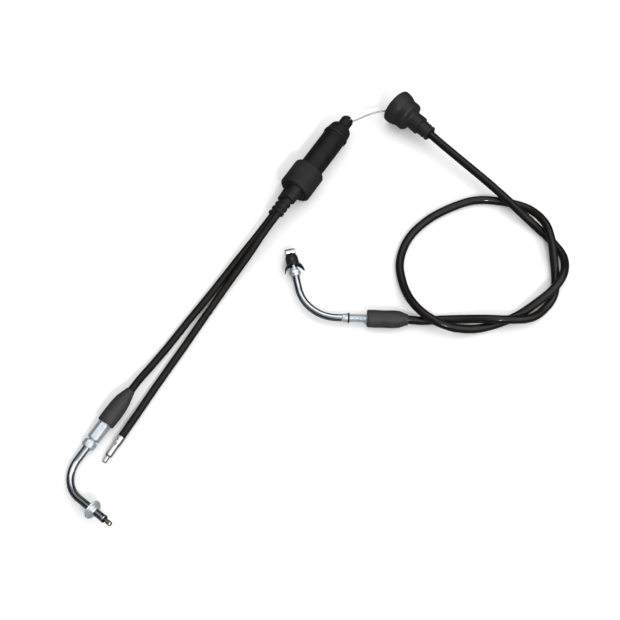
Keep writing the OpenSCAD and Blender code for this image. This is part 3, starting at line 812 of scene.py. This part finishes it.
carb_sleeve = turned("carb_sleeve_rubber", dense(fillet([
    (2.9, -27.7), (3.25, -27.7, 0.2), (3.5, -26.0, 0.8), (4.2, -24.0, 1.5), (4.6, -22.0, 2.0),
    (5.2, -20.0, 2.0), (5.65, -17.0, 3.0), (6.0, -14.0, 3.0), (6.15, -10.0, 3.0),
    (6.05, -5.0, 2.0), (6.0, -0.9, 0.4), (5.7, -0.1, 0.5), (5.0, 0, 0.3), (4.5, -0.6),
    (4.5, -17.2), (2.9, -19)]), 1.5), CARB, seg=72, warp=uneven)
dress(carb_sleeve, "splitter", "rubber", "sleeve", "carb_sleeve", sharp=50)

adjuster_hex = hexagon("carb_hex_adjuster", HEX_AF, 0.2, 13, NUT_BORE_R, CARB, spin=30)
adjuster_seat = turned("seat", fillet([
    (2.7, -11), (2.7, -16.8, 0.1), (3.9, -17, 0.3), (4.0, -16.5), (4.0, 0.3), (NUT_BORE_R, 0.3),
    (NUT_BORE_R, -9.5), (1.0, -9.5), (1.0, -11)]), CARB, seg=48)
adjuster = join("carb_hex_adjuster", [adjuster_hex, adjuster_seat])
dress(adjuster, "carb_barrel", "zinc", "zinc", "carb_adjuster", sharp=22)

lock = hexagon("carb_hex_lock_nut", HEX_AF, 14.5, 19.5, NUT_BORE_R, CARB, spin=30, chamfer=0.6)
dress(lock, "carb_nut", "zinc", "zinc", "carb_lock_nut", sharp=22)

# this bore is wider, as its nipple is drawn into the mouth
CARB_BORE_R = 1.9
tube_path = bend_path(19.5, CARB_STRAIGHT, CARB_BEND_R, CARB_BEND, LEFT, 25.4)
carb_tube = swept("carb_tube_bent", tube_path, TUBE_R, CARB_BORE_R, CARB)
rim = turned("rim", fillet([
    (CARB_BORE_R, 24.3), (TUBE_R, 24.2), (2.7, 24.5, 0.15), (2.7, 25.15, 0.2), (2.45, 25.4, 0.1),
    (1.95, 25.4, 0.05)]), CARB_LEG, seg=48)
carb_tube = join("carb_tube_bent", [carb_tube, rim])
dress(carb_tube, "carb_elbow", "zinc", "tube", "carb_tube", sharp=35)
carb_thread = threaded("carb_tube_thread", -3, [(THREAD_R, 19.4), (2.6, 19.6), (BORE_R, 19.6)],
                       CARB)
dress(carb_thread, "carb_elbow", "zinc", "zinc", sharp=35)

flange = turned("carb_tube_flange", fillet([
    (TUBE_R, 13.2), (3.4, 13.2, 0.1), (6.0, 13.2, 0.3), (6.5, 13.6, 0.3), (6.5, 14.1, 0.3),
    (6.1, 14.5, 0.3), (3.9, 14.5, 0.4), (3.25, 15.1, 0.3), (3.25, 16.5, 0.3), (2.8, 17.0, 0.2),
    (TUBE_R, 17.0)], steps=5), CARB_LEG, seg=80)
dress(flange, "carb_elbow", "zinc", "zinc", "carb_flange")

carb_nipple = turned("carb_slide_nipple", fillet([
    (0.6, 27.4), (1.4, 27.4, 0.2), (1.6, 27.8, 0.2), (1.6, 30.9, 0.3), (1.2, 31.4, 0.2),
    (0.6, 31.4)]), CARB_LEG, seg=44)
dress(carb_nipple, "carb_end", "nipple_brass", "warm", "carb_nipple")
carb_wire = wire_end("carb_wire_tail", 11, 31.2, WIRE_D, CARB_LEG)
dress(carb_wire, "carb_end", "wire_steel", "wire", "carb_wire_end", sharp=60)

# ---------------------------------------------------------------- oil pump end

CRIMPS_AT = (2.8, 7.4)
CRIMP_R = 0.75
CRIMP_DEPTH = 0.45
CRIMP_TURN = math.radians(60)
FLAT_DEPTH = 0.07


def crimps(th, s, r):
    """two rows of four pressed dimples, and four slightly flattened sides at the wide end"""
    if r < 2.2:
        return r
    top = abs(((th - CRIMP_TURN) % (math.pi / 2)) - math.pi / 4)
    press = 0.0
    for c in CRIMPS_AT:
        far = math.hypot((s - c) / CRIMP_R, top * r / CRIMP_R)
        press = max(press, CRIMP_DEPTH * max(0, 1 - far * far))
    flats = FLAT_DEPTH * (1 + math.cos(4 * th)) if 0.5 < s < 6 else 0
    return r - press - flats


ferrule = turned("pump_cable_ferrule", dense(fillet([
    (2.6, 0), (2.8, 0, 0.05), (2.9, 0.3, 0.1), (2.9, 5.4, 0.5), (2.5, 6.4, 0.5),
    (2.35, 7.2, 0.5), (2.35, 14.9, 0.2), (2.1, 15.3, 0.1), (1.8, 15.3), (1.8, 5.0), (2.6, 5.0)]),
    0.3), PUMP, seg=72, warp=crimps)
dress(ferrule, "splitter", "zinc", "alloy", "pump_ferrule", sharp=40)

pump_nipple = turned("pump_lever_nipple", fillet([
    (0.5, 15.6), (1.3, 15.6, 0.15), (1.5, 15.9, 0.2), (1.5, 19.8, 0.25), (1.2, 20.2, 0.2),
    (0.5, 20.2)]), PUMP, seg=44)
dress(pump_nipple, "pump_end", "nipple_steel", "nipple", "pump_nipple")
pump_wire = wire_end("pump_wire_tail", 15.2, 20.0, PUMP_WIRE_D, PUMP)
dress(pump_wire, "pump_end", "wire_steel", "wire", "pump_wire_end", sharp=60)

# ---------------------------------------------------------------- inner pieces kept from CAD

INNER = {
    "zinc": ["carb_upper_ferrule", "pump_upper_ferrule"],
    "alloy": ["cup_ferrule"],
    "slider": ["slider_block"],
    "warm": ["throttle_slider_nipple", "carb_slider_nipple", "pump_slider_nipple"],
    "wire": ["throttle_slider_wire", "carb_slider_wire", "pump_slider_wire"],
}
for mat, inner_nodes in INNER.items():
    for node in inner_nodes:
        for slot in CAD[node].material_slots:
            slot.material = MAT[mat]

# ---------------------------------------------------------------- stage and light

STAGE_HALF = 2.5


def stage_plane(name, height, mat):
    """a square sheet under the object, in metres"""
    mesh = bpy.data.meshes.new(name)
    corners = [(-STAGE_HALF, -STAGE_HALF, height), (STAGE_HALF, -STAGE_HALF, height),
               (STAGE_HALF, STAGE_HALF, height), (-STAGE_HALF, STAGE_HALF, height)]
    mesh.from_pydata(corners, [], [(0, 1, 2, 3)])
    mesh.materials.append(mat)
    obj = bpy.data.objects.new(name, mesh)
    bpy.context.scene.collection.objects.link(obj)
    return obj


pale = bpy.data.materials.new("pale_floor")
pale.use_nodes = True
pale_inputs = pale.node_tree.nodes["Principled BSDF"].inputs
pale_inputs["Base Color"].default_value = (0.9, 0.9, 0.9, 1)
pale_inputs["Roughness"].default_value = 0.7
pale_inputs["Specular IOR Level"].default_value = 0.2
floor = stage_plane("floor", -0.00005, pale)

world = bpy.data.worlds.new("studio")
bpy.context.scene.world = world
world.use_nodes = True
world.node_tree.nodes["Background"].inputs["Color"].default_value = (1, 1, 1, 1)
world.node_tree.nodes["Background"].inputs["Strength"].default_value = 0.6
world.cycles_visibility.glossy = False
floor.visible_glossy = False


def softbox(name, at, width, height, power):
    """a rectangular light that faces the middle of the picture"""
    data = bpy.data.lights.new(name, "AREA")
    data.shape = "RECTANGLE"
    data.size = width
    data.size_y = height
    data.energy = power
    obj = bpy.data.objects.new(name, data)
    bpy.context.scene.collection.objects.link(obj)
    obj.location = at
    obj.rotation_euler = (Vector(AIM) - Vector(at)).to_track_quat("-Z", "Y").to_euler()
    return obj


def from_view(x, y, z, far):
    """a place as seen by the camera: x to its right, y away from it, z up"""
    return (AIM[0] + far * (x * math.cos(VIEW_TURN) - y * math.sin(VIEW_TURN)),
            AIM[1] + far * (x * math.sin(VIEW_TURN) + y * math.cos(VIEW_TURN)), far * z)


softbox("top_light", from_view(0.25, 0.25, 0.93, 1.2), 1.5, 1.2, 5.5)
softbox("right_light", from_view(0.75, -0.3, 0.6, 1.1), 1.1, 0.7, 3.2)
softbox("front_light", from_view(0.2, -0.64, 0.74, 1.2), 0.16, 0.03, 4.5)
softbox("ceiling_light", from_view(0.0, 0.0, 1.0, 1.8), 4.5, 4.5, 17.0)

# a darker floor that only shows in reflections
grey = bpy.data.materials.new("grey_floor")
grey.use_nodes = True
grey_emit = grey.node_tree.nodes.new("ShaderNodeEmission")
grey_emit.inputs["Color"].default_value = (0.13, 0.135, 0.14, 1)
grey_emit.inputs["Strength"].default_value = 1.0
grey.node_tree.links.new(grey_emit.outputs["Emission"],
                         grey.node_tree.nodes["Material Output"].inputs["Surface"])
mirror = stage_plane("floor_reflection", -0.0002, grey)
mirror.visible_camera = False
mirror.visible_diffuse = False
mirror.visible_shadow = False
mirror.visible_transmission = False
